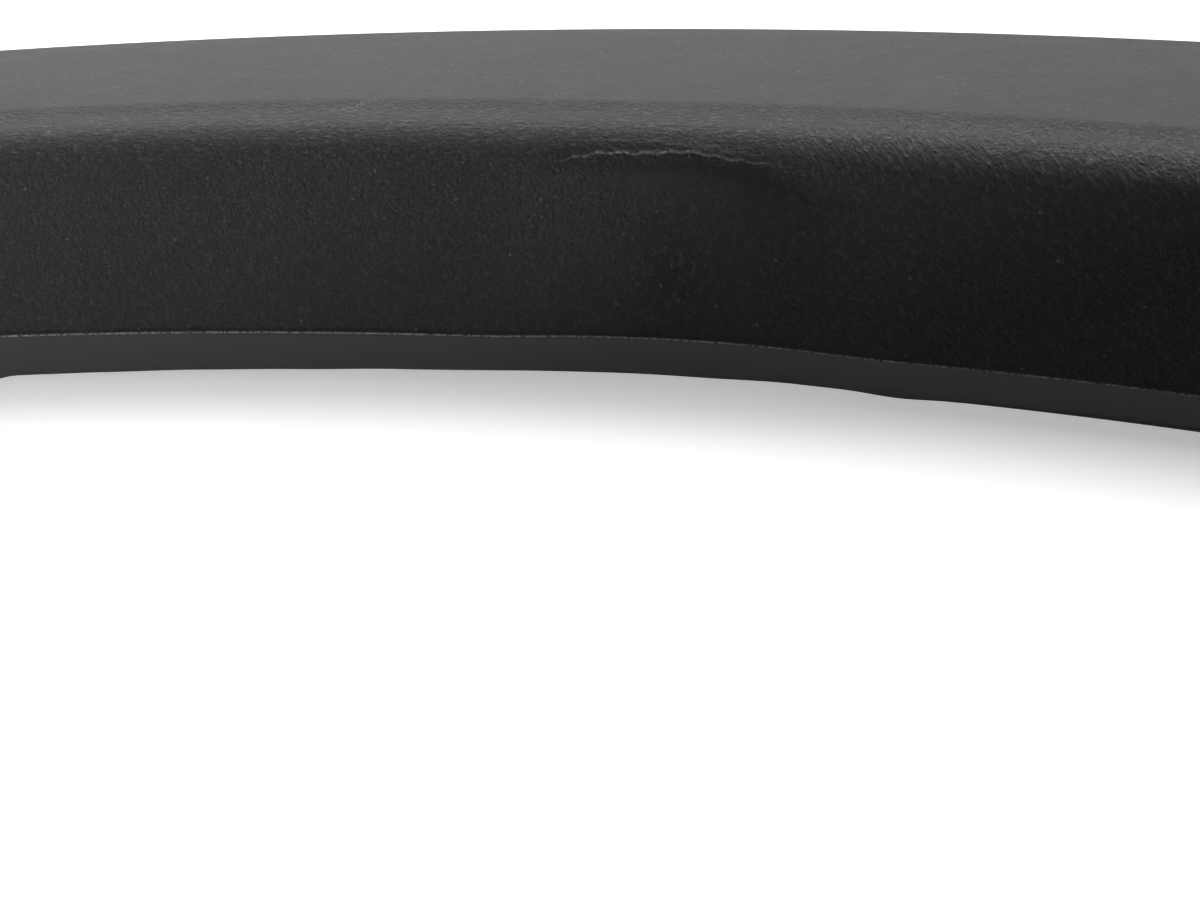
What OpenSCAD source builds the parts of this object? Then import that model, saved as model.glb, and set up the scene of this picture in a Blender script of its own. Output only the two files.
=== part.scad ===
// Wheel arch trim: one injection moulding that lies on its back, outer face up.
// The body panel's plane is Z = 0. Angles are counted from the crown of the arch, towards the rear.

/* [Arch] */
// Radius of the wheel opening, at the top of the lip
opening_r = 395; // [350:1:450]
// Angle at which the curve runs out into the straight legs
arc_sweep = 66; // [62:1:74]
// Height of the front end over the wheel's axis
front_end_h = 130; // [100:5:135]
// Height of the rear end over the wheel's axis
rear_end_h = 40; // [0:5:80]
// Thickness of the wall that closes each end
end_wall = 2.5; // [2:0.1:3.5]

/* [Section] */
// Height of the face's crest over the body panel
crest_h = 35; // [30:0.5:42]
// Distance of the crest from the lip
crest_in = 6.5; // [5.5:0.5:12]
// Fall of the narrow band between the crest and the rounded edge
band_fall = 1.2; // [0.8:0.1:2]
// Distance of the face's outer break from the lip
face_w = 70; // [60:1:85]
// Fall of the face from its crest to its outer break
face_fall = 7.5; // [4:0.5:9]
// Crown of the face over a flat one
face_crown = 0.6; // [0.3:0.1:1.2]
// Width of the flank from the outer break to the body panel
flank_w = 14; // [10:1:20]
// Wall thickness
wall = 3; // [2.6:0.1:3.6]
// Distance that the lip leans towards the wheel at its foot
lip_lean = 2; // [1:0.1:3]

/* [Edges] */
// Radius of the rounded edge between lip and face
edge_r = 4.5; // [4:0.5:6]
// Radius of the soft ridge along the crest
crest_r = 10; // [8:1:12]
// Radius of the outer break
break_r = 5; // [4:0.5:8]

/* [Mounting flange] */
// Height of the bare flange below the grained lip
flange_h = 6.5; // [5:0.5:9]
// Step from the lip's surface back to the flange's
flange_step = 1.4; // [1:0.1:1.6]
// Clearance of the flange over the body panel between its feet
flange_lift = 1.2; // [0.6:0.1:1.6]
// Width of each foot along the flange
foot_w = 30; // [28:1:36]
// Angle between neighbouring feet
foot_pitch = 29.5; // [27:0.1:31]
// Length of the low shoulder on each side of a foot
shoulder_len = 14; // [8:1:30]
// Length of the ramps between foot, shoulder and flange
ramp_len = 7; // [4:1:10]

/* [Peg tabs] */
// Width of the tab that each foot carries
tab_w = 24; // [20:1:26]
// Distance of the peg's hole from the lip
tab_hole_in = 13; // [12:0.5:16]
// Diameter of the hole for the push-in peg
tab_hole_d = 6.5; // [5:0.1:7.5]
// Thickness of the tab
tab_t = 2.4; // [2:0.1:3]

/* [Clip towers] */
// Distance of the towers' holes from the lip
tower_in = 48; // [44:1:50]
// Angle of the first pair of towers from the crown
tower_first = 11.8; // [10:0.1:12.5]
// Angle between neighbouring towers
tower_pitch = 23.6; // [20:0.2:25]
// Width of a tower along the arch
tower_w = 22; // [20:1:26]
// Depth of a tower across the arch
tower_d = 20; // [18:1:24]
// Thickness of a tower's walls and sole
tower_wall = 2.2; // [1.8:0.1:2.6]
// Recess of a tower's sole from the body panel
tower_recess = 1; // [0.5:0.1:1.5]
// Diameter of the keyhole for the clip's neck
keyhole_d = 8; // [7:0.1:9]
// Width of the keyhole's entry
keyhole_entry = 5; // [4:0.1:5.2]

/* [Ribs] */
// Thickness of a cross rib
rib_t = 2; // [1.6:0.1:2.4]
// Angle between neighbouring ribs
rib_pitch = 11.8; // [9:0.1:12.5]
// Distance between ribs on the straight legs, the first of which carries a tower at the rear
leg_rib_gap = 60; // [50:1:64]
// Depth of a rib under the face
rib_web = 6; // [4:0.5:8]
// Reach of a rib's gussets along the face, from lip and flank
rib_gusset = 15; // [10:1:18]
// Height of the gussets' feet over the body panel
rib_foot = 9; // [8:0.5:14]

/* [Dent] */
// Angle of the dent in the lip
dent_at = -0.5; // [-2:0.1:2]
// Depth of the dent at the lip's foot
dent_depth = 1.8; // [1.2:0.1:2.2]
// Depth of the dent at the fold under its crease
dent_fold_depth = 1.2; // [0.6:0.1:1.4]
// Height of the crease along which the dent starts
dent_top = 29.5; // [26:0.5:30]
// Height of the slope from the crease down to the fold
dent_slope = 3.5; // [2:0.5:6]
// Radius of the hollow that the dent left
dent_r = 115; // [80:1:150]

/* [Hidden] */
$fn = 180;

// How far ribs and towers reach into the wall that carries them
fuse = 0.6;
// Extra length for cutters
over = 1;
// Points on the round stretches of the section
edge_steps = 9;
soft_steps = 3;
feet_per_side = 2;
towers_per_side = 3;

outer_r = opening_r + face_w + flank_w;

// The outer surface's corners, from the lip's foot over the crest to the body panel,
// as distance from the lip's top and height
lip_foot = [-lip_lean, flange_h];
edge_corner = [0, crest_h - band_fall];
crest = [crest_in, crest_h];
outer_break = [face_w, crest_h - face_fall];
face_mid = (crest + outer_break) / 2 + [0, face_crown];
seat = [face_w + flank_w, 0];
corners = [lip_foot, edge_corner, crest, face_mid, outer_break, seat];

// The crown's radius lets its arc take up most of the face between crest and break
crown_r = 0.8 * norm(face_mid - crest) / tan(turn(crest, face_mid, outer_break) / 2);
radii = [edge_r, crest_r, crown_r, break_r];
steps = [edge_steps, soft_steps, soft_steps, edge_steps];

// Plane geometry for the section
function unit(v) = v / norm(v);
function right_of(v) = [v.y, -v.x];
function turn(a, b, c) = acos(unit(b - a) * unit(c - b));
function at_height(a, b, h) = a + (b - a) * (h - a.y) / (b.y - a.y);

// How far the lip's surface lies from the lip's top, at a height
function lip_at(h) = at_height(lip_foot, edge_corner, h).x;

// A corner of the line a-b-c, moved to the right of the line by d
function inset_corner(a, b, c, d) =
    let (n1 = right_of(unit(b - a)), n2 = right_of(unit(c - b)))
    b + d * (n1 + n2) / (1 + n1 * n2);

// An open line moved to its right by d
function inset_line(p, d) =
    let (last = len(p) - 1)
    [
        p[0] + d * right_of(unit(p[1] - p[0])),
        for (i = [1 : last - 1]) inset_corner(p[i - 1], p[i], p[i + 1], d),
        p[last] + d * right_of(unit(p[last] - p[last - 1]))
    ];

// The corner b of a line that turns to the right, rounded with radius r in n steps
function round_corner(a, b, c, r, n) =
    let (
        angle = turn(a, b, c),
        start = b - unit(b - a) * r * tan(angle / 2),
        centre = start + right_of(unit(b - a)) * r,
        from = start - centre,
        heading = atan2(from.y, from.x)
    )
    [for (i = [0 : n]) centre + r * [cos(heading - angle * i / n), sin(heading - angle * i / n)]];

// An open line with all its inner corners rounded
function round_line(p, r, n) =
    [
        p[0],
        for (i = [1 : len(p) - 2]) each round_corner(p[i - 1], p[i], p[i + 1], r[i - 1], n[i - 1]),
        p[len(p) - 1]
    ];

// The surface at depth d under the outer one, down to the body panel at both ends
function layer(d) =
    let (
        line = inset_line(corners, d),
        last = len(line) - 1,
        whole = [
            at_height(line[0], line[1], 0),
            for (i = [1 : last - 1]) line[i],
            at_height(line[last - 1], line[last], 0)
        ]
    )
    round_line(whole, [for (r = radii) r - d], steps);

function reversed(p) = [for (i = [len(p) - 1 : -1 : 0]) p[i]];

// The flange's outer side, from its lower edge up to the step under the lip
flange_side = let (line = inset_line(corners, flange_step))
    [at_height(line[0], line[1], 0), at_height(line[0], line[1], flange_h)];

// Extent of the whole part round the wheel's axis, for the origin at the middle of its base
function leg_x(end_h) = outer_r * sin(arc_sweep) + (outer_r * cos(arc_sweep) - end_h) / tan(arc_sweep);
middle = [(leg_x(rear_end_h) - leg_x(front_end_h)) / 2, (outer_r + min(front_end_h, rear_end_h)) / 2];

// The section's shapes are drawn from the lip's top; this moves one out to the arch
module drawn_at_lip(points) {
    translate([opening_r, 0]) polygon(points);
}

// The moulding's wall, cut across the arch
module wall_section() {
    drawn_at_lip(concat(flange_side, round_line(corners, radii, steps), reversed(layer(wall))));
}

// All that lies under the outer surface, as if the moulding were filled
module filled_section() {
    drawn_at_lip(concat(flange_side, round_line(corners, radii, steps)));
}

// The room inside the wall, and a little of the wall, to which ribs and towers are trimmed
module core_section() {
    drawn_at_lip(layer(wall - fuse));
}

// Sweeps a section round the arch and down both legs
module along_arch() {
    rotate([0, 0, 90 - arc_sweep]) rotate_extrude(angle = 2 * arc_sweep) children();
    straight_leg(rear_end_h) children();
    mirror([1, 0, 0]) straight_leg(front_end_h) children();
}

module straight_leg(end_h) {
    leg = (outer_r * cos(arc_sweep) - end_h) / sin(arc_sweep);
    rotate([0, 0, 90 - arc_sweep]) rotate([90, 0, 0]) linear_extrude(leg) children();
}

// Places children at an angle from the crown and a distance from the lip:
// their X runs along the arch towards the rear, and their Y away from the wheel
module at_arch(angle, in = 0) {
    rotate([0, 0, -angle]) translate([0, opening_r + in, 0]) children();
}

// The space beyond the ends of both legs, square to the ground
module beyond_ends(inset = 0) {
    reach = 2 * outer_r;
    translate([0, rear_end_h + inset - reach, -over]) cube([reach, reach, crest_h + 3 * over]);
    translate([-reach, front_end_h + inset - reach, -over]) cube([reach, reach, crest_h + 3 * over]);
}

// One cross rib: a web under the face with a gusset down the lip and one down the flank
module cross_rib() {
    under_crest = crest_h - wall - rib_web;
    under_break = crest_h - face_fall - wall - rib_web;
    top = crest_h + over;
    translate([-rib_t / 2, 0, 0]) rotate([90, 0, 90]) linear_extrude(rib_t) polygon([
        [-lip_lean, rib_foot],
        [wall + lip_lean, rib_foot],
        [wall + rib_gusset, under_crest],
        [face_w - rib_gusset, under_break],
        [face_w + flank_w - 2 * wall, rib_foot],
        [face_w + flank_w, rib_foot],
        [face_w + flank_w, top],
        [-lip_lean, top],
    ]);
}

module ribs() {
    per_side = floor(arc_sweep / rib_pitch);
    for (i = [-per_side : per_side]) at_arch(i * rib_pitch) cross_rib();
    for (x = [leg_rib_gap : leg_rib_gap : outer_r * cos(arc_sweep) - rear_end_h])
        at_arch(arc_sweep) translate([x, 0, 0]) cross_rib();
}

// A hollow tower under the face; a clip slides into the keyhole in its sole from the open side
module clip_tower() {
    inner = [tower_w, tower_d - 2 * tower_wall, crest_h];
    difference() {
        translate([-tower_w / 2, -tower_d / 2, tower_recess]) cube([tower_w, tower_d, crest_h]);
        translate([-tower_w / 2 + tower_wall, -inner.y / 2, tower_recess + tower_wall]) cube(inner);
        cylinder(d = keyhole_d, h = crest_h);
        translate([0, -keyhole_entry / 2, 0]) cube([tower_w, keyhole_entry, crest_h / 2]);
    }
}

module towers() {
    for (side = [-1, 1], i = [0 : towers_per_side - 1])
        at_arch(side * (tower_first + i * tower_pitch), tower_in) clip_tower();
    at_arch(arc_sweep, tower_in) translate([leg_rib_gap, 0, 0]) clip_tower();
}

// The angles of the flange's feet
foot_angles = [for (side = [-1, 1], i = [0 : feet_per_side - 1]) side * (i + 0.5) * foot_pitch];

// A tab that turns in from a foot, flat on the body panel
module tab_plate() {
    linear_extrude(tab_t) {
        translate([-tab_w / 2, -lip_lean]) square([tab_w, tab_hole_in + lip_lean]);
        translate([0, tab_hole_in]) circle(d = tab_w);
    }
}

module peg_tabs() {
    for (a = foot_angles) at_arch(a) tab_plate();
}

module peg_holes() {
    for (a = foot_angles) at_arch(a, tab_hole_in)
        translate([0, 0, -over]) cylinder(d = tab_hole_d, h = tab_t + 2 * over);
}

// What the flange leaves free over the body panel between two feet, with a shoulder at each foot
module flange_reliefs() {
    half = opening_r * sin(foot_pitch / 2) - foot_w / 2;
    side = [
        [half, 0],
        [half - ramp_len, flange_lift / 2],
        [half - shoulder_len, flange_lift / 2],
        [half - shoulder_len - ramp_len, flange_lift],
    ];
    outline = concat([[half, -over]], side, reversed([for (p = side) [-p.x, p.y]]), [[-half, -over]]);
    sagitta = opening_r * (1 - cos(foot_pitch / 2));
    for (i = [1 - feet_per_side : feet_per_side - 1])
        at_arch(i * foot_pitch, 2 * wall) rotate([90, 0, 0]) linear_extrude(sagitta + 3 * wall + lip_lean) polygon(outline);
}

// The dent is what an upright drum would leave: its skin, moved out by grow, from foot to crease,
// and on past the crease to clear the lip
function dent_skin(grow) =
    let (
        foot = [lip_at(flange_h) + dent_depth, flange_h],
        fold = [lip_at(dent_top - dent_slope) + dent_fold_depth, dent_top - dent_slope],
        crease = [lip_at(dent_top), dent_top],
        clear = crease + (crease - fold)
    )
    [for (p = [foot, fold, clear]) p + [dent_r - foot.x + grow, 0]];

module at_dent() {
    at_arch(dent_at, lip_at(flange_h) + dent_depth - dent_r) children();
}

// The room that the dent took from the lip, and from the flange that steps back under it
module dent_hollow() {
    skin = dent_skin(0);
    flange_skin = dent_r + flange_step;
    at_dent() rotate_extrude()
        polygon(concat([[0, -over], [flange_skin, -over], [flange_skin, flange_h]], skin, [[0, skin[2].y]]));
}

// The dented wall's back, which keeps the wall's thickness behind the hollow
module dent_backing() {
    skin = dent_skin(wall);
    intersection() {
        at_dent() rotate_extrude() polygon(concat([[0, -over], [skin[0].x, -over]], skin, [[0, skin[2].y]]));
        along_arch() filled_section();
    }
}

module dented_wall() {
    difference() {
        union() {
            along_arch() wall_section();
            dent_backing();
        }
        dent_hollow();
    }
}

module arch_trim() {
    color([0.16, 0.16, 0.165])
    translate([-middle.x, -middle.y, 0])
    difference() {
        union() {
            dented_wall();
            intersection() {
                along_arch() core_section();
                union() {
                    ribs();
                    towers();
                    peg_tabs();
                    beyond_ends(end_wall);
                }
            }
        }
        beyond_ends();
        flange_reliefs();
        peg_holes();
    }
}

arch_trim();
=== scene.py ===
# %% [markdown]
# # Wheel arch trim
#
# The trim is one injection moulding of black polypropylene. It lies on its back on a pale table,
# outer face up. The camera stands inside the arch and sees about 160 mm of its crown: the face,
# the rounded edge, the grained lip with a dent in it, and the bare flange under the lip.
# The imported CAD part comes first, as a fixed frame that everything else is built on.

# %% Load the frame
import math

import bmesh
import bpy
import numpy as np
from mathutils import Matrix, Vector


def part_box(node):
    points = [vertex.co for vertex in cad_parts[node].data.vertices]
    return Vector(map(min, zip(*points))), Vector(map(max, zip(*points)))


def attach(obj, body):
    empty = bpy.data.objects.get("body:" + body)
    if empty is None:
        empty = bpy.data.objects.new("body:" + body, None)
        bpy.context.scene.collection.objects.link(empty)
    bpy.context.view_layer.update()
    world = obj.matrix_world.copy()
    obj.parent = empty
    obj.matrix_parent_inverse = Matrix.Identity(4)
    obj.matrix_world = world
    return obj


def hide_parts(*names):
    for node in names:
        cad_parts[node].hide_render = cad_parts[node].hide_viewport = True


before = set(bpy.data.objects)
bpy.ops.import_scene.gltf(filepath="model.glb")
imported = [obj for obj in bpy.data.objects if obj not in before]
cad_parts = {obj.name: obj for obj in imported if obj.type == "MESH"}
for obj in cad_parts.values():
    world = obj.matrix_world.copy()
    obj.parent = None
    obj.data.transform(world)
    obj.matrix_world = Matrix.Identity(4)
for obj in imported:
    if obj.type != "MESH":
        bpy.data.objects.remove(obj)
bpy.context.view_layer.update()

low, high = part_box("arch_trim")
print("CAD box in mm", [round(1000 * v, 2) for v in (*low, *high)])

# %% [markdown]
# ## The arch and its section
#
# The moulding is one section swept round the wheel opening. The section is drawn as distance
# from the lip's top, outward, and height over the body panel. It follows the CAD part's section
# inside the same box, with one form more that shows from close by: between the crest and the
# rounded edge the face steps down a little to a narrow rim.

# %% Sizes of the arch and the section
mm = 0.001
opening_r = 395 * mm
arc_sweep = math.radians(66)
front_end_h, rear_end_h, end_wall = 130 * mm, 40 * mm, 2.5 * mm
crest_h, face_w, flank_w = 35 * mm, 70 * mm, 14 * mm
lip_lean, flange_h, flange_step, flange_lift = 2 * mm, 6.5 * mm, 1.4 * mm, 1.2 * mm
wall, fuse = 3 * mm, 0.6 * mm
lip_foot, edge_corner = Vector((-2, 6.5)) * mm, Vector((0, 33.9)) * mm
rim_back, crest = Vector((6.5, 34.15)) * mm, Vector((8.9, 34.96)) * mm
outer_break, seat = Vector((69.95, 27.5)) * mm, Vector((83.87, 0)) * mm
face_mid = (crest + outer_break) / 2 + Vector((0, 0.6)) * mm
corners = [lip_foot, edge_corner, rim_back, crest, face_mid, outer_break, seat]
outer_r = opening_r + face_w + flank_w
hair = 0.02 * mm  # the ends stay this much inside the CAD part's


def leg_length(end_h):
    return (outer_r * math.cos(arc_sweep) - end_h) / math.sin(arc_sweep)


def leg_x(end_h):
    return outer_r * math.sin(arc_sweep) + leg_length(end_h) * math.cos(arc_sweep)


# The wheel's axis, with the origin at the middle of the part's box
axis = Vector(((leg_x(front_end_h) - leg_x(rear_end_h)) / 2, -(outer_r + rear_end_h) / 2, 0))
print("wheel's axis in mm", [round(v / mm, 2) for v in axis])


# %% Plane geometry for the section
def right_of(v):
    return Vector((v.y, -v.x))


def at_height(a, b, h):
    return a + (b - a) * (h - a.y) / (b.y - a.y)


def inset_line(line, d):
    """An open line moved to its right by d."""
    out = [line[0] + d * right_of((line[1] - line[0]).normalized())]
    for a, b, c in zip(line, line[1:], line[2:]):
        n1, n2 = right_of((b - a).normalized()), right_of((c - b).normalized())
        out.append(b + d * (n1 + n2) / (1 + n1.dot(n2)))
    return out + [line[-1] + d * right_of((line[-1] - line[-2]).normalized())]


def round_line(line, radii, steps):
    """An open line with its inner corners rounded. A negative radius is for a turn to the left."""
    out = [line[0]]
    for a, b, c, r, n in zip(line, line[1:], line[2:], radii, steps):
        along = (b - a).normalized()
        angle = along.angle((c - b).normalized()) * math.copysign(1, r)
        centre = b - along * r * math.tan(angle / 2) + right_of(along) * r
        spoke = -right_of(along) * r
        for i in range(n + 1):
            turn = angle * i / n
            out.append(centre + math.cos(turn) * spoke + math.sin(turn) * right_of(spoke))
    return out + [line[-1]]


crown_turn = (face_mid - crest).angle(outer_break - face_mid)
crown_r = 0.8 * (face_mid - crest).length / math.tan(crown_turn / 2)
radii = [4.2 * mm, -7 * mm, 4 * mm, crown_r, 5 * mm]


def layer(d, steps):
    """The surface at depth d under the outer one, down to the body panel at both ends."""
    line = inset_line(corners, d)
    line[0] = at_height(line[0], line[1], 0)
    line[-1] = at_height(line[-2], line[-1], 0)
    return round_line(line, [r - d for r in radii], steps)


# %% [markdown]
# The wall's outline runs from the flange's foot up the lip, over the face and down the flank, and
# back along the inside. The lip is cut into short steps, because the dent is pressed into it
# later, and most of all at the height of the dent's crease. A small ridge stands at the lip's foot:
# that is the flash which the mould's parting line leaves, and it catches the light.

# %% The wall's outline
outer_line = round_line(corners, radii, [26, 4, 5, 10, 9])


def between(a, b, heights):
    return [at_height(a, b, h * mm) for h in heights]


# Up the lip in steps of 0.9 mm, and of 0.4 mm round the crease and up to the rounded edge
lip_top = outer_line[1].y / mm
lip_heights = [7.2 + 0.9 * i for i in range(21)]
lip_heights += [25.7 + 0.4 * i for i in range(int((lip_top - 25.8) / 0.4))]
flash_ridge = [lip_foot + Vector((0.12, -0.02)) * mm, lip_foot + Vector((-0.14, 0.02)) * mm,
               lip_foot + Vector((-0.10, 0.16)) * mm, lip_foot + Vector((0.03, 0.34)) * mm]
flange_line = inset_line(corners, flange_step)
flange_edge = at_height(flange_line[0], flange_line[1], 0)
flange_top = at_height(flange_line[0], flange_line[1], flange_h)
flange_side = between(flange_edge, flange_top, [0, 1.6, 3.2, 4.8, 6.1])
flange_side.append(flange_top + Vector((-0.25, 0)) * mm)

inner_line = layer(wall, [6, 3, 2, 5, 6])
inner_lip = between(inner_line[0], inner_line[1], [2, 5, 9, 14, 19, 24, 27, 29])
wall_outline = (flange_side + flash_ridge + between(lip_foot, edge_corner, lip_heights)
                + outer_line[1:] + list(reversed([inner_line[0], *inner_lip, *inner_line[1:]])))
print(len(wall_outline), "points round the wall's section,", len(lip_heights), "of them up the lip")

# %% [markdown]
# ## Sweeping the section
#
# By hand one would draw the section once and spin it round the wheel's axis. That is what happens
# here: a filled circle is added with as many corners as the outline, its corners are moved onto the
# outline, and the face is extruded for the front leg, spun round the arch, and extruded again for
# the rear leg. The spin goes in stretches, with fine steps where the camera is close and where the
# dent will be, and a cut wherever the flange's lower edge has a corner. Bisect trims the ends.


# %% Helpers for modelling
def deselect():
    if bpy.context.object and bpy.context.object.mode != "OBJECT":
        bpy.ops.object.mode_set(mode="OBJECT")
    bpy.ops.object.select_all(action="DESELECT")


def named(name):
    piece = bpy.context.object
    piece.name = piece.data.name = name
    return piece


def select_verts(piece, wanted):
    """Selects, in edit mode, the corners for which wanted(place) is true."""
    bpy.ops.object.mode_set(mode="EDIT")
    mesh = bmesh.from_edit_mesh(piece.data)
    for v in mesh.verts:
        v.select = bool(wanted(v.co))
    mesh.select_mode = {"VERT"}
    mesh.select_flush_mode()
    bmesh.update_edit_mesh(piece.data)


def place(point, angle, along=0.0):
    """A point of the section, at an angle from the crown and a distance along the leg there."""
    r = opening_r + point.x
    return Vector((axis.x + r * math.sin(angle) + along * math.cos(angle),
                   axis.y + r * math.cos(angle) - along * math.sin(angle), point.y))


def section_face(name, outline, angle, along=0.0):
    """A flat face with the outline's shape, standing across the arch."""
    deselect()
    bpy.ops.mesh.primitive_circle_add(vertices=len(outline), radius=crest_h, fill_type="NGON")
    piece = named(name)
    for v, point in zip(piece.data.vertices, outline):
        v.co = place(point, angle, along)
    bpy.ops.object.mode_set(mode="EDIT")
    bpy.ops.mesh.select_all(action="SELECT")
    return piece


def extrude(vector):
    bpy.ops.mesh.extrude_region_move(TRANSFORM_OT_translate={"value": vector})


def trim(co, no, keep_below=True):
    """Cuts the selection at a plane, throws one side away and closes the cut."""
    bpy.ops.mesh.bisect(plane_co=co, plane_no=no, use_fill=True, threshold=1e-7,
                        clear_outer=keep_below, clear_inner=not keep_below)


def outward(piece):
    bpy.ops.object.mode_set(mode="EDIT")
    bpy.ops.mesh.select_all(action="SELECT")
    bpy.ops.mesh.normals_make_consistent(inside=False)
    bpy.ops.object.mode_set(mode="OBJECT")


# %% Where the flange stands on its feet
foot_pitch = math.radians(29.5)
foot_w, shoulder_len, ramp_len = 30 * mm, 14 * mm, 7 * mm
half_gap = opening_r * math.sin(foot_pitch / 2) - foot_w / 2
half_shoulder = half_gap - shoulder_len
gap_corners = [half_gap, half_gap - ramp_len, half_shoulder, half_shoulder - ramp_len]
lifts = [0, flange_lift / 2, flange_lift / 2, flange_lift]

# Near the dent: the place along the lip and the gap there, both in mm
warped_gap = [
    (-101, 0), (-97.5, 0.5), (-92.7, 0.55), (-85.5, 0.65), (-71, 0.87), (-57, 0.98), (-43, 1.23),
    (-28.7, 1.4), (-15.4, 1.23), (-1.9, 1.15), (11.8, 1.5), (18.7, 1.6), (25.4, 1.4), (32, 1.62),
    (38.3, 1.78), (51, 1.87), (58, 1.84), (63, 1.95), (70, 1.1), (78, 0.6)]


def eased(x, x1, x2, z1, z2):
    t = (x - x1) / (x2 - x1)
    return z1 + (z2 - z1) * t * t * (3 - 2 * t)


def flange_gap(angle):
    """How far the flange's lower edge stands over the body panel. Beside the dent it is warped."""
    s = angle * opening_r / mm
    for (s1, z1), (s2, z2) in zip(warped_gap, warped_gap[1:]):
        if s1 <= s < s2:
            return eased(s, s1, s2, z1, z2) * mm
    i = max(-1, min(1, round(angle / foot_pitch)))
    x = abs(opening_r * math.sin(angle - i * foot_pitch))
    if x >= gap_corners[0]:
        return 0.0
    for x1, x2, z1, z2 in zip(gap_corners, gap_corners[1:], lifts, lifts[1:]):
        if x >= x2:
            return eased(x, x1, x2, z1, z2)
    return flange_lift


# %% Sweep the wall
stops = {-arc_sweep, arc_sweep}
for i in (-1, 0, 1):
    for x in gap_corners:
        stops |= {i * foot_pitch + side * math.asin(x / opening_r) for side in (-1, 1)}
dent_reach, seen_reach = 6.5, 20  # degrees to both sides of the crown
warp_ends = (-14.65, -14.1)  # degrees, where the warped edge lifts off the table
for degrees in (-seen_reach, *warp_ends, -dent_reach, dent_reach, seen_reach):
    stops.add(math.radians(degrees))
stops = sorted(stops)


def step_at(angle):
    """The spin's step: finest at the dent, fine where the camera looks, coarse elsewhere."""
    degrees = abs(math.degrees(angle))
    return math.radians(0.07 if degrees < dent_reach else 0.16 if degrees < seen_reach else 0.9)


spare = 5 * mm  # the legs are longer than they need to be, and are trimmed
front_leg, rear_leg = leg_length(front_end_h) + spare, leg_length(rear_end_h) + spare
moulding = section_face("trim_moulding", wall_outline, -arc_sweep, -front_leg)
front_way = Vector((math.cos(arc_sweep), math.sin(arc_sweep), 0))
rear_way = Vector((math.cos(arc_sweep), -math.sin(arc_sweep), 0))
extrude(front_way * front_leg)
for start, stop in zip(stops, stops[1:]):
    count = max(1, round((stop - start) / step_at((start + stop) / 2)))
    bpy.ops.mesh.spin(steps=count, angle=stop - start, center=axis, axis=(0, 0, 1))
extrude(rear_way * rear_leg)
bpy.ops.object.mode_set(mode="OBJECT")
print("swept wall:", len(moulding.data.vertices), "corners before its ends are trimmed")


# %% Trim both ends square to the ground
def trim_ends(piece):
    for side, end_h in ((-1, front_end_h), (1, rear_end_h)):
        select_verts(piece, lambda co: side * (co.x - axis.x) > 0.3 * opening_r)
        trim((0, axis.y + end_h + hair, 0), (0, 1, 0), keep_below=False)


trim_ends(moulding)
outward(moulding)
print("wall:", len(moulding.data.vertices), "corners,", len(moulding.data.polygons), "faces")

# %% [markdown]
# ## Ribs, towers, tabs and end walls
#
# Turned over, such a trim shows cross ribs with gussets, hollow towers whose soles take push-in
# clips, and tabs for pegs. Each is modelled once: the ribs and end walls from the room inside the
# section, and the towers from a cube that is inset and cut out. Copies go round the arch,
# and one Boolean joins them all to the wall, because the real thing is a single moulding.

# %% Room inside the wall
core_outline = layer(wall - fuse, [6, 3, 2, 5, 6])


def boolean(piece, others, operation="UNION"):
    """Joins the others to a piece, or cuts them out of it, and removes them."""
    for other in others:
        deselect()
        bpy.context.view_layer.objects.active = piece
        piece.select_set(True)
        tool = piece.modifiers.new("join", "BOOLEAN")
        tool.operation, tool.object, tool.solver = operation, other, "MANIFOLD"
        bpy.ops.object.modifier_apply(modifier=tool.name)
        bpy.data.objects.remove(other, do_unlink=True)


def core_block(name, angle, start, length):
    """A block that fills the section's inside, from start over a length across the section."""
    piece = section_face(name, core_outline, angle, start)
    extrude((length * math.cos(angle), -length * math.sin(angle), 0))
    outward(piece)
    return piece


def turned_copy(piece, angle, along=0.0):
    """A copy moved from the crown to another angle, with its own mesh."""
    copy = piece.copy()
    copy.data = piece.data.copy()
    bpy.context.collection.objects.link(copy)
    for v in copy.data.vertices:
        offset = v.co - axis
        x, y = offset.x + along, offset.y
        v.co = axis + Vector((x * math.cos(angle) + y * math.sin(angle),
                              y * math.cos(angle) - x * math.sin(angle), offset.z))
    return copy


# %% One cross rib at the crown
rib_t, rib_web, rib_gusset, rib_foot = 2 * mm, 6 * mm, 15 * mm, 9 * mm
under_crest = crest_h - wall - rib_web
under_break = outer_break.y - wall - rib_web
rib_under = [Vector(p) for p in (
    (-lip_lean, -wall), (-lip_lean, rib_foot), (wall + lip_lean, rib_foot),
    (wall + rib_gusset, under_crest), (face_w - rib_gusset, under_break),
    (face_w + flank_w - 2 * wall, rib_foot), (face_w + flank_w, rib_foot),
    (face_w + flank_w, -wall))]
rib = core_block("rib", 0, -rib_t / 2, rib_t)
below = section_face("below", rib_under, 0, -rib_t)
extrude((2 * rib_t, 0, 0))
outward(below)
boolean(rib, [below], "DIFFERENCE")
print("rib:", len(rib.data.vertices), "corners")

# %% One clip tower at the crown
tower_in, tower_w, tower_d = 48 * mm, 22 * mm, 20 * mm
tower_wall, tower_recess = 2.2 * mm, 1 * mm
keyhole_d, keyhole_entry = 8 * mm, 5 * mm


def block(name, size, low_corner):
    deselect()
    middle = [a + s / 2 for a, s in zip(low_corner, size)]
    bpy.ops.mesh.primitive_cube_add(size=1, location=middle, scale=size)
    bpy.ops.object.transform_apply(location=True, rotation=True, scale=True)
    return named(name)


def rod(name, diameter, bottom, top, at):
    deselect()
    bpy.ops.mesh.primitive_cylinder_add(vertices=48, radius=diameter / 2, depth=top - bottom,
                                        location=(at[0], at[1], (top + bottom) / 2))
    bpy.ops.object.transform_apply(location=True, rotation=True, scale=True)
    return named(name)


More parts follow.
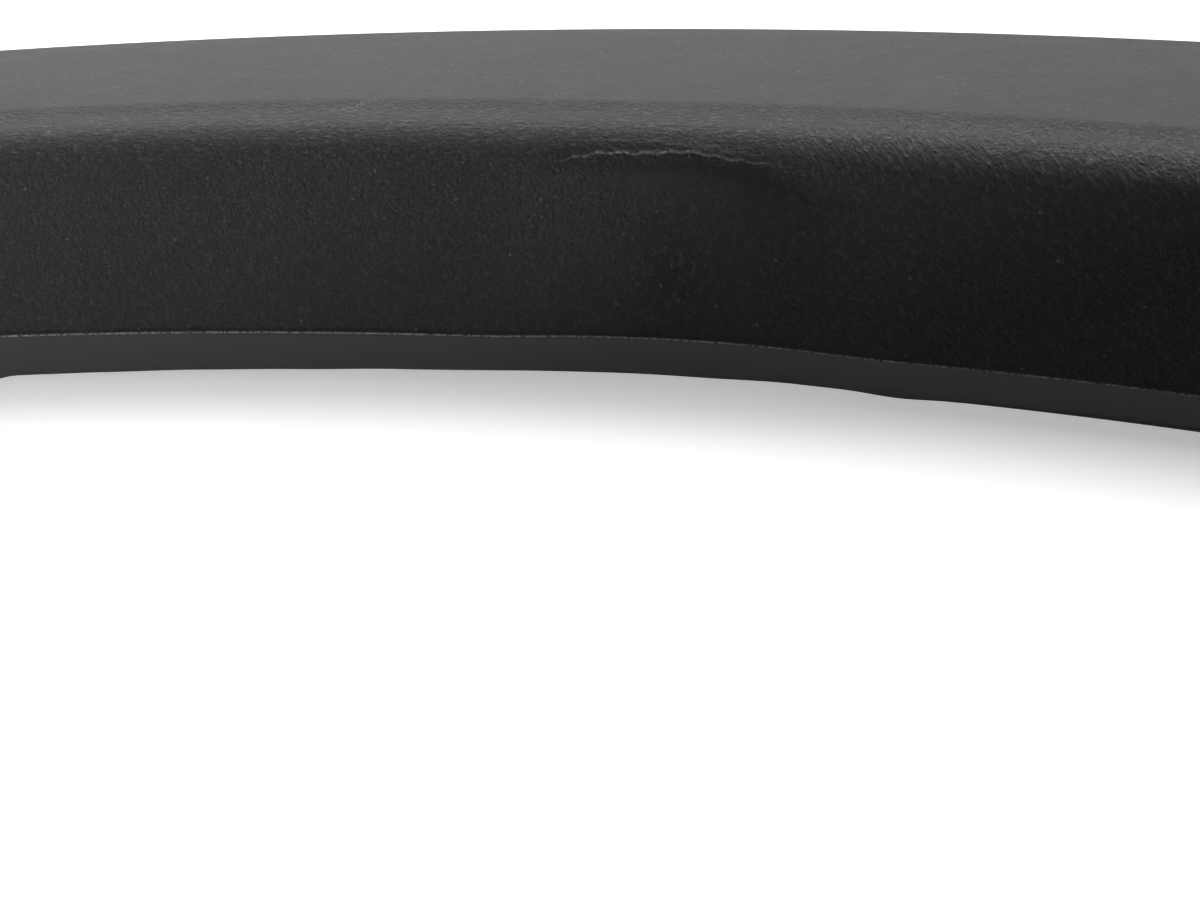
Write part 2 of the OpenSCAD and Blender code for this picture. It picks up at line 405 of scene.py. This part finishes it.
hub = Vector((axis.x, axis.y + opening_r + tower_in, 0))
tower_low = (hub.x - tower_w / 2, hub.y - tower_d / 2, tower_recess)
tower = block("tower", (tower_w, tower_d, crest_h), tower_low)
hollow = block("hollow", (tower_w, tower_d - 2 * tower_wall, crest_h),
               [v + tower_wall for v in tower_low])
entry = block("entry", (tower_w, keyhole_entry, crest_h / 2),
              (hub.x, hub.y - keyhole_entry / 2, 0))
keyhole = rod("keyhole", keyhole_d, 0, crest_h, hub)
boolean(tower, [hollow, keyhole, entry], "DIFFERENCE")
tower_room = core_block("tower_room", 0, -tower_w, 2 * tower_w)
boolean(tower, [tower_room], "INTERSECT")
print("tower:", len(tower.data.vertices), "corners")

# %% One peg tab at the crown
tab_w, tab_hole_in, tab_hole_d, tab_t = 24 * mm, 13 * mm, 6.5 * mm, 2.4 * mm
tab_root = lip_lean - 1 * mm
tab = block("tab", (tab_w, tab_hole_in + tab_root, tab_t),
            (axis.x - tab_w / 2, axis.y + opening_r - tab_root, 0))
tab_hub = Vector((axis.x, axis.y + opening_r + tab_hole_in, 0))
boolean(tab, [rod("tab_end", tab_w, 0, tab_t, tab_hub)])
tab_room = core_block("tab_room", 0, -tab_w, 2 * tab_w)
boolean(tab, [tab_room], "INTERSECT")
boolean(tab, [rod("peg_hole", tab_hole_d, -wall, wall + tab_t, tab_hub)], "DIFFERENCE")
print("tab:", len(tab.data.vertices), "corners")

# %% Copies round the arch, and the end walls
rib_pitch = tower_first = math.radians(11.8)
tower_pitch, leg_rib_gap = math.radians(23.6), 60 * mm
inside = [turned_copy(rib, i * rib_pitch) for i in range(-5, 6)]
inside += [turned_copy(rib, arc_sweep, x * leg_rib_gap) for x in (1, 2)]
for side in (-1, 1):
    inside += [turned_copy(tower, side * (tower_first + i * tower_pitch)) for i in range(3)]
    inside += [turned_copy(tab, side * (i + 0.5) * foot_pitch) for i in range(2)]
inside.append(turned_copy(tower, arc_sweep, leg_rib_gap))
for model in (rib, tower, tab):
    bpy.data.objects.remove(model, do_unlink=True)

for side, end_h, leg in ((-1, front_end_h, front_leg), (1, rear_end_h, rear_leg)):
    angle = side * arc_sweep
    plate = core_block("end", angle, -leg if side < 0 else 0, leg)
    select_verts(plate, lambda co: True)
    trim((0, axis.y + end_h + hair, 0), (0, 1, 0), keep_below=False)
    bpy.ops.mesh.select_all(action="SELECT")
    trim((0, axis.y + end_h + end_wall, 0), (0, 1, 0))
    outward(plate)
    inside.append(plate)
insides = inside.pop(0)
boolean(insides, inside)
boolean(moulding, [insides])
print("joined:", len(moulding.data.vertices), "corners,", len(moulding.data.polygons), "faces")

# %% [markdown]
# ## The dent
#
# Something round was pressed against the lip from the wheel's side. The plastic gave way between
# the stiff rounded edge and the foot, and stayed bent: it is deepest at the foot, and it ends in a
# crease just under the rounded edge. A hand would push the corners with the proportional edit
# tool; here the same push is a short function of the place along the lip and the height, so that
# the wall's back moves with its front. Two thin ridges along the crease and a few soft folds are
# pushed up with it, and the flange's lower edge gets its gaps over the panel.

# %% Push the dent into the lip
dent_at, dent_depth, dent_fold_depth = math.radians(-0.5), 1.8 * mm, 1.2 * mm
dent_slope, dent_r, dent_blend = 3.5 * mm, 115 * mm, 0.5 * mm
crease_h, crease_droop = 31.3 * mm, 6.0
# The crease's thin ridge wanders in a long and a short wave: length over 2 pi, height, start
crease_waves = [(1.9 * mm, 0.14 * mm, 0.0), (0.5 * mm, 0.12 * mm, 1.0)]


def dent_push(s, h):
    """How far the lip is pushed away from the wheel, s along the lip from the dent's middle."""
    top = crease_h - crease_droop * s * s
    fold_h = top - dent_slope
    if h >= top:
        return 0.0
    depth = dent_fold_depth + (dent_depth - dent_fold_depth) * (fold_h - h) / (fold_h - flange_h)
    if h > fold_h:
        depth = dent_fold_depth * (1 - eased(h, fold_h, top, 0, 1))
    left = depth - s * s / 2 * (1 / dent_r - 1 / opening_r)
    if left <= -1.5 * mm:
        return 0.0
    return (left + math.hypot(left, dent_blend) - dent_blend * 0.2) / 2


def bump_at(value, middle, width):
    return math.exp(-(((value - middle) / width) ** 2))


def crease_line(s):
    """Height of the crease's thin ridge."""
    waves = sum(rise * math.sin(s / length + start) for length, rise, start in crease_waves)
    return crease_h - crease_droop * s * s + waves


def ridges(s, h):
    """How far the crease's two ridges and the folds under them stand out of the lip."""
    first = 0.14 * mm * bump_at(s, 0, 15 * mm) * bump_at(h, crease_line(s), 0.35 * mm)
    strand_h = crease_line(s + 4 * mm) + 0.9 * mm
    second = 0.08 * mm * bump_at(s, -3 * mm, 12 * mm) * bump_at(h, strand_h, 0.3 * mm)
    wave = math.sin(s / (0.42 * mm) + 1.3 * math.sin(h / (3 * mm)))
    folds = 0.05 * mm * wave * bump_at(s, -0.5 * mm, 4 * mm) * bump_at(h, 15 * mm, 7 * mm)
    return first + second - folds


lip_reach, panel_reach = 6 * mm, 0.02 * mm
dent_far, ridges_far = 40 * mm, 24 * mm  # along the lip, from the dent's middle
moved = 0
for v in moulding.data.vertices:
    flat = Vector((v.co.x - axis.x, v.co.y - axis.y))
    angle, inward = math.atan2(flat.x, flat.y), flat.length - opening_r
    if inward > lip_reach or abs(angle) > arc_sweep:
        continue
    height, s = v.co.z, (angle - dent_at) * opening_r
    if height < panel_reach:
        v.co.z = flange_gap(angle)
    push = dent_push(s, height) if abs(s) < dent_far else 0.0
    on_front = inward < 2 * mm and 6 * mm < height < 33 * mm
    if on_front and abs(s) < ridges_far:
        push -= ridges(s, height)
    if push:
        out = flat.normalized() * push
        v.co.x, v.co.y = v.co.x + out.x, v.co.y + out.y
        moved += 1
print("dent: moved", moved, "corners")

# %% Smooth shading with sharp edges where the moulding has them
deselect()
bpy.context.view_layer.objects.active = moulding
moulding.select_set(True)
outward(moulding)
bpy.ops.object.shade_smooth_by_angle(angle=math.radians(32))

# %% [markdown]
# ## Shader maths
#
# Finishes are built from nodes. A small class wraps a node's output socket, so that masks and
# mixes can be written as expressions. Adding two wrapped sockets adds a Math node.

# %% Sockets as numbers
class Sock:
    tree = None

    def __init__(self, socket):
        self.socket = socket

    @staticmethod
    def node(kind, settings=None, out=0, **values):
        """Any node: its type, its settings, which output is wanted, and its inputs by name."""
        made = Sock.tree.nodes.new(kind)
        for key, value in (settings or {}).items():
            setattr(made, key, value)
        for key, value in values.items():
            target = made.inputs[int(key[1:]) if key[0] == "_" else key.replace("_", " ")]
            if isinstance(value, Sock):
                Sock.tree.links.new(value.socket, target)
            else:
                target.default_value = value
        return Sock(made.outputs[out])

    @staticmethod
    def combine(operation, *terms):
        inputs = {f"_{i}": term for i, term in enumerate(terms)}
        return Sock.node("ShaderNodeMath", {"operation": operation}, **inputs)

    def math(self, operation, *others):
        return Sock.combine(operation, self, *others)

    def beside(self, name):
        """Another output of the same node."""
        return Sock(self.socket.node.outputs[name])

    def __add__(self, other): return self.math("ADD", other)
    def __radd__(self, other): return self.math("ADD", other)
    def __sub__(self, other): return self.math("SUBTRACT", other)
    def __rsub__(self, other): return Sock.combine("SUBTRACT", other, self)
    def __mul__(self, other): return self.math("MULTIPLY", other)
    def __rmul__(self, other): return self.math("MULTIPLY", other)
    def __pow__(self, other): return self.math("POWER", other)


def smooth(value, low_end, high_end):
    """0 below low_end, 1 above high_end, smooth between them."""
    return Sock.node("ShaderNodeMapRange", {"interpolation_type": "SMOOTHSTEP"},
                     Value=value, From_Min=low_end, From_Max=high_end)


def window(value, middle, width):
    """1 at the middle, fading smoothly to 0 at a width to both sides."""
    return smooth((value - middle).math("ABSOLUTE"), width, 0.0)


def mix(factor, a, b):
    return Sock.node("ShaderNodeMix", {"data_type": "RGBA"}, 2, _0=factor, _6=a, _7=b)


def mix_values(factor, a, b):
    return Sock.node("ShaderNodeMix", _0=factor, _2=a, _3=b)


def vector(x, y, z):
    return Sock.node("ShaderNodeCombineXYZ", _0=x, _1=y, _2=z)


def noise(where, scale, detail=2.0, roughness=0.5, distortion=0.0):
    return Sock.node("ShaderNodeTexNoise", {"noise_dimensions": "2D"}, Vector=where, Scale=scale,
                     Detail=detail, Roughness=roughness, Distortion=distortion)


def cells(where, scale):
    return Sock.node("ShaderNodeTexVoronoi", {"voronoi_dimensions": "2D"},
                     Vector=where, Scale=scale)


def grey(level, blue=0.0):
    """A colour from one level, with a little more blue if wanted."""
    return (level, level, level + blue, 1)


def new_material(name):
    material = bpy.data.materials.new(name)
    material.use_nodes = True
    Sock.tree = material.node_tree
    return material, material.node_tree.nodes["Principled BSDF"]


def feed(shader, **inputs):
    for key, value in inputs.items():
        target = shader.inputs[key.replace("_", " ")]
        if isinstance(value, Sock):
            Sock.tree.links.new(value.socket, target)
        else:
            target.default_value = value


# %% Places on the arch, in millimetres, for the finishes
def arch_places():
    """In mm: along the lip from the crown, out from its top, the height, and down the section."""
    where = Sock.node("ShaderNodeTexCoord", out="Object")
    where = Sock.node("ShaderNodeVectorMath", {"operation": "SUBTRACT"}, _0=where, _1=tuple(axis))
    where = Sock.node("ShaderNodeVectorMath", {"operation": "SCALE"}, _0=where, _3=1 / mm)
    x = Sock.node("ShaderNodeSeparateXYZ", _0=where)
    y, z = x.beside("Y"), x.beside("Z")
    along = x.math("ARCTAN2", y) * (opening_r / mm)
    out = (x * x + y * y).math("SQRT") - opening_r / mm
    # Lip, edge and face share one measure, and the flank goes on from it at the outer break
    on_flank = smooth(out, face_w / mm - 1, face_w / mm + 1)
    down = mix_values(on_flank, 0 - out - z, z - (face_w + 2 * outer_break.y) / mm)
    return along, out, z, down


# %% [markdown]
# ## The grained plastic
#
# The mould is etched with a fine leather grain, about a millimetre across, that runs over face,
# edge and lip. Where the lip was pressed it is smoothed out, along the crease it is stretched and
# whitened, and on the rounded edge to the rear it is scuffed in slanting strokes. All of it is
# bump and a little colour and roughness, on top of the shape that the mesh already has. Part of
# the colour is painted light: a painted highlight along the rounded edge, on the crease and on the
# flash, and a painted shade on the lip under the crease.

# %% Grained plastic
grained, shader = new_material("grained_plastic")
along, out, z, down = arch_places()
surface = vector(along, down, 0.0)
lip_side = smooth(out, 4.0, 1.0)
edge_band = window(z, 32.2, 4.2) * smooth(out, 9.5, 5.5)

# The grain's parts: round pebbles, and strokes that stand, slant or lie
pebbles = cells(surface, 1.25)
fine = noise(surface, 2.3, 3.0, 0.65, 0.6)
coarse = noise(surface, 0.16, 2.0, 0.55)
upright = noise(vector(along * 1.8, down * 1.05, 0.0), 1.0, 3.0, 0.62, 1.2)
slant = vector(along * 0.36 + down * 0.48, along * 1.6 - down * 1.2, 0.0)
slanted = noise(slant, 0.9, 2.0, 0.6, 0.3)
level_folds = noise(vector(along * 0.6, down * 1.35, 0.0), 1.2, 3.0, 0.62, 0.5)

# The dent's parts: pressed smooth, a painted shade under the crease, and wrinkled
pressed = window(along + 3.5, 0.0, 19.0) * window(z, 28.0, 4.0) * lip_side
painted_shade = smooth((along + 4.0).math("ABSOLUTE"), 20.0, 9.0) * window(z, 30.3, 6.2) * lip_side
wrinkled = window(along + 4.0, 0.0, 8.0) * window(z, 15.0, 13.0) * lip_side
to_rear = smooth(along, 2.0, 22.0)
flecks = mix_values(to_rear, level_folds, slanted)
grain_depth = 1.0 + lip_side * 0.35 + edge_band * 0.4 - pressed * 1.2

height = (pebbles * 0.6 + fine * 1.3 + upright * lip_side * 0.35) * grain_depth + coarse * 1.2
height = height + upright * wrinkled * 2.4 + flecks * edge_band * 3.4
height = height * smooth(z, flange_h / mm + 0.1, flange_h / mm + 0.9)

# The marks: pale specks, the crease in two strands, whitened and with a painted highlight, the
# flash with a painted highlight, and one scuff
shade = noise(surface, 0.045, 2.0, 0.5)
dots = cells(vector(along + down * 0.37, down * 0.93 - along * 0.37, 0.0), 0.2)
speck = smooth(dots, 0.06, 0.02) * smooth(dots.beside("Color"), 0.66, 0.8)

from_dent = along - dent_at * opening_r / mm
crease_path = z - crease_h / mm + from_dent ** 2.0 * (crease_droop * mm)
for length, rise, start in crease_waves:
    crease_path = crease_path - (from_dent * (mm / length) + start).math("SINE") * (rise / mm)
strand = window(crease_path + slanted * 1.4 - 0.7, 0.95, 0.22) * smooth(along, -8.0, 0.0)
crease_mark = window(crease_path, 0.0, 0.32) + strand * 0.35
crease_mark = crease_mark * smooth(from_dent.math("ABSOLUTE"), 18.0, 6.0)
crease_mark = crease_mark * smooth(fine, 0.25, 0.6)

flash = smooth(z, flange_h / mm + 0.26, flange_h / mm + 0.16) * lip_side * smooth(fine, 0.36, 0.6)
scuff = window(along + 48.0 - (out - 7.5) * 1.6, 0.0, 1.6) * window(out, 7.5, 2.6)
scuff = scuff * smooth(upright, 0.5, 0.62)

# How much the grey pales, from 0 to 1: wear, specks and scuffs, and a painted highlight along the
# rounded edge
wear_and_edge_highlight = edge_band * (0.09 + smooth(flecks, 0.52, 0.72) * 0.3) + speck * 0.5
wear_and_edge_highlight = wear_and_edge_highlight + scuff * 0.5 + wrinkled * smooth(upright, 0.52, 0.75) * 0.2
wear_and_edge_highlight = wear_and_edge_highlight + lip_side * to_rear * smooth(slanted, 0.56, 0.7) * 0.1
wear_and_edge_highlight = wear_and_edge_highlight + lip_side * (1 - pressed) * smooth(upright, 0.5, 0.66) * 0.09
wear_and_edge_highlight = wear_and_edge_highlight + smooth(fine, 0.56, 0.7) * 0.09 + smooth(upright, 0.55, 0.75) * 0.05
wear_and_edge_highlight = wear_and_edge_highlight + (1 - lip_side) * smooth(level_folds, 0.5, 0.7) * 0.07
wear_and_edge_highlight = wear_and_edge_highlight + (1 - lip_side) * smooth(coarse, 0.45, 0.7) * 0.03

base = mix(shade, grey(0.062, 0.001), grey(0.072, 0.001))
# Painted shade: the lip under the crease is darkened towards near black
base = mix(painted_shade * 0.5, base, grey(0.012, 0.001))
# Wear and marks pale the grey, and so does the painted highlight along the rounded edge
base = mix(wear_and_edge_highlight.math("MINIMUM", 1.0), base, grey(0.30, 0.005))
# The crease is paler: partly its own whitening, partly a painted highlight
base = mix(crease_mark * lip_side, base, grey(0.44, 0.005))
# The flash line is paler: partly its own whitening, partly a painted highlight where the ridge
# catches the light
base = mix(flash, base, grey(0.42))
bump = Sock.node("ShaderNodeBump", Height=height, Strength=1.0, Distance=0.3 * mm)
feed(shader, Base_Color=base, Roughness=0.46 + fine * 0.16 - pressed * 0.05,
     Normal=bump, Specular_IOR_Level=0.1)

# %% [markdown]
# ## The bare plastic
#
# The flange under the lip and the whole back come from polished steel: they are smooth, a little
# glossier, and show only faint flow marks.

# %% Bare plastic
bare, shader = new_material("bare_plastic")
along, out, z, down = arch_places()
flow = noise(vector(along * 0.05, down * 0.3, 0.0), 1.0, 3.0, 0.5)
speckle = noise(vector(along, down, 0.0), 1.6, 2.0, 0.6)
bump = Sock.node("ShaderNodeBump", Height=flow * 0.6 + speckle * 0.25,
                 Strength=0.25, Distance=0.1 * mm)
base = mix(flow, (0.058, 0.0585, 0.060, 1), (0.070, 0.0705, 0.073, 1))
feed(shader, Base_Color=base, Roughness=0.38 + speckle * 0.1, Normal=bump, Specular_IOR_Level=0.3)

# %% [markdown]
# A face is grained if it lies on the outer line of the section, over the flange. The dent's push
# is taken off first, so that the lip's pressed faces are found too.

# %% Which faces are grained
moulding.data.materials.clear()
moulding.data.materials.append(grained)
moulding.data.materials.append(bare)
grain_line = np.array([tuple(p) for p in [lip_foot] + outer_line[1:]])
centres = np.array([tuple(face.center) for face in moulding.data.polygons]) - np.array(axis)
angles = np.arctan2(centres[:, 0], centres[:, 1])
held = np.clip(angles, -arc_sweep, arc_sweep)
depths = centres[:, 0] * np.sin(held) + centres[:, 1] * np.cos(held) - opening_r
near_dent = (abs(angles) < dent_far / opening_r) & (depths < lip_reach)
pushes = np.array([dent_push((a - dent_at) * opening_r, h) if near else 0.0
                   for a, h, near in zip(angles, centres[:, 2], near_dent)])
spots = np.stack([depths - pushes, centres[:, 2]], 1)
nearest = np.ones(len(spots))
for a, b in zip(grain_line, grain_line[1:]):
    share = np.clip((spots - a) @ (b - a) / ((b - a) @ (b - a)), 0, 1)
    nearest = np.minimum(nearest, np.hypot(*(spots - a - share[:, None] * (b - a)).T))
grained_faces = (nearest < 0.5 * mm) & (spots[:, 1] > flange_h)
moulding.data.polygons.foreach_set("material_index", np.where(grained_faces, 0, 1))
print("grained faces:", int(grained_faces.sum()), "of", len(grained_faces))

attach(moulding, "root")
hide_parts("arch_trim")

# %% [markdown]
# ## Table, light and camera
#
# The photograph shows the trim on white, with a soft short shadow at its foot. Most light comes
# from above and behind, so that the face shines flatly and the lip stays dark. A low lamp at the
# side runs along the lip and fades to the rear, and a weak narrow one in front fills in its front
# part. The table glows towards the camera, so that it is white in the picture, and is dark for the
# light that bounces off it, so that the lip isn't lit from below.

# %% Table
deselect()
bpy.ops.mesh.primitive_plane_add(size=8, location=(0, 0, -0.02 * mm))
table = named("table")
table_look, shader = new_material("white_table")
camera_ray = Sock.node("ShaderNodeLightPath", out="Is Camera Ray")
mirror_ray = camera_ray.beside("Is Glossy Ray") + camera_ray.beside("Is Transmission Ray")
seen = (camera_ray + mirror_ray).math("MINIMUM", 1.0)
spot = Sock.node("ShaderNodeTexCoord", out="Object")
from_middle = Sock.node("ShaderNodeVectorMath", {"operation": "LENGTH"}, "Value", _0=spot)
glow = mix(smooth(from_middle, 0.6, 1.1), grey(0.43), grey(1.0))
feed(shader, Base_Color=mix(seen, grey(0.05), grey(0.88)), Roughness=0.9,
     Specular_IOR_Level=0.0, Emission_Color=mix(seen, grey(0.0), glow), Emission_Strength=1.0)
table.data.materials.append(table_look)

# %% World
world = bpy.data.worlds.new("studio")
bpy.context.scene.world = world
world.use_nodes = True
Sock.tree = world.node_tree
background = world.node_tree.nodes["Background"]
camera_ray = Sock.node("ShaderNodeLightPath", out="Is Camera Ray")
mirror_ray = camera_ray.beside("Is Glossy Ray") + camera_ray.beside("Is Transmission Ray")
mirror_ray = mirror_ray.math("MINIMUM", 1.0)
east = Sock.node("ShaderNodeSeparateXYZ", _0=Sock.node("ShaderNodeTexCoord", out="Generated"))
behind = smooth(east.beside("Y") * 0.9 - east * 0.3 + east.beside("Z") * 0.35, -0.3, 0.7)
room = 0.02 + behind * 0.98
level = room * (0.09 + mirror_ray * 0.1)
level = level + camera_ray * (1 - level)
feed(background, Color=(1, 1, 1, 1), Strength=level)


# %% Lamps
def lamp(name, spot, target, size, power, spread=180):
    """A round lamp aimed at a target, with its width in metres and its spread in degrees."""
    deselect()
    bpy.ops.object.light_add(type="AREA", location=spot)
    light = named(name)
    light.data.shape, light.data.size, light.data.energy = "DISK", size, power
    light.data.spread = math.radians(spread)
    light.rotation_euler = (Vector(target) - Vector(spot)).to_track_quat("-Z", "Y").to_euler()


crown = Vector((axis.x, axis.y + opening_r, 20 * mm))
front_part = crown + Vector((-0.2, 0, 0))
lamp("top_light", crown + Vector((-0.3, 0.42, 1.48)), crown, 1.4, 8)
lamp("back_light", crown + Vector((-0.6, 0.85, 1.18)), crown, 1.6, 32)
lamp("side_light", crown + Vector((1.9, -0.34, 0.19)), crown, 0.3, 31)
lamp("front_light", crown + Vector((-0.32, -0.95, 0.38)), front_part, 0.3, 0.105, spread=29)


# %% Camera
def aim_camera(x, y, height, yaw, pitch, roll, focal):
    """A camera at a place from the wheel's axis, in mm, with its focal length in pixels."""
    deselect()
    bpy.ops.object.camera_add(location=(axis.x + x * mm, axis.y + y * mm, height * mm))
    camera = named("camera")
    ahead = Vector((math.sin(yaw) * math.cos(pitch), math.cos(yaw) * math.cos(pitch),
                    -math.sin(pitch)))
    level_right = Vector((math.cos(yaw), -math.sin(yaw), 0))
    level_up = level_right.cross(ahead)
    right = math.cos(roll) * level_right + math.sin(roll) * level_up
    up = right.cross(ahead)
    camera.rotation_mode = "QUATERNION"
    camera.rotation_quaternion = Matrix((right, up, -ahead)).transposed().to_quaternion()
    sensor_w, photo_w = 36, 1200
    camera.data.sensor_width = sensor_w
    camera.data.lens = focal / photo_w * sensor_w
    camera.data.clip_start = 1 * mm
    return camera


camera = aim_camera(x=123.80, y=90.99, height=133.52,
                    yaw=-0.4322, pitch=0.4042, roll=-0.0984, focal=2797.3)
bpy.context.scene.camera = camera
bpy.context.scene.view_settings.view_transform = "Standard"
print("camera at", [round(v, 4) for v in camera.location], "lens", round(camera.data.lens, 2))
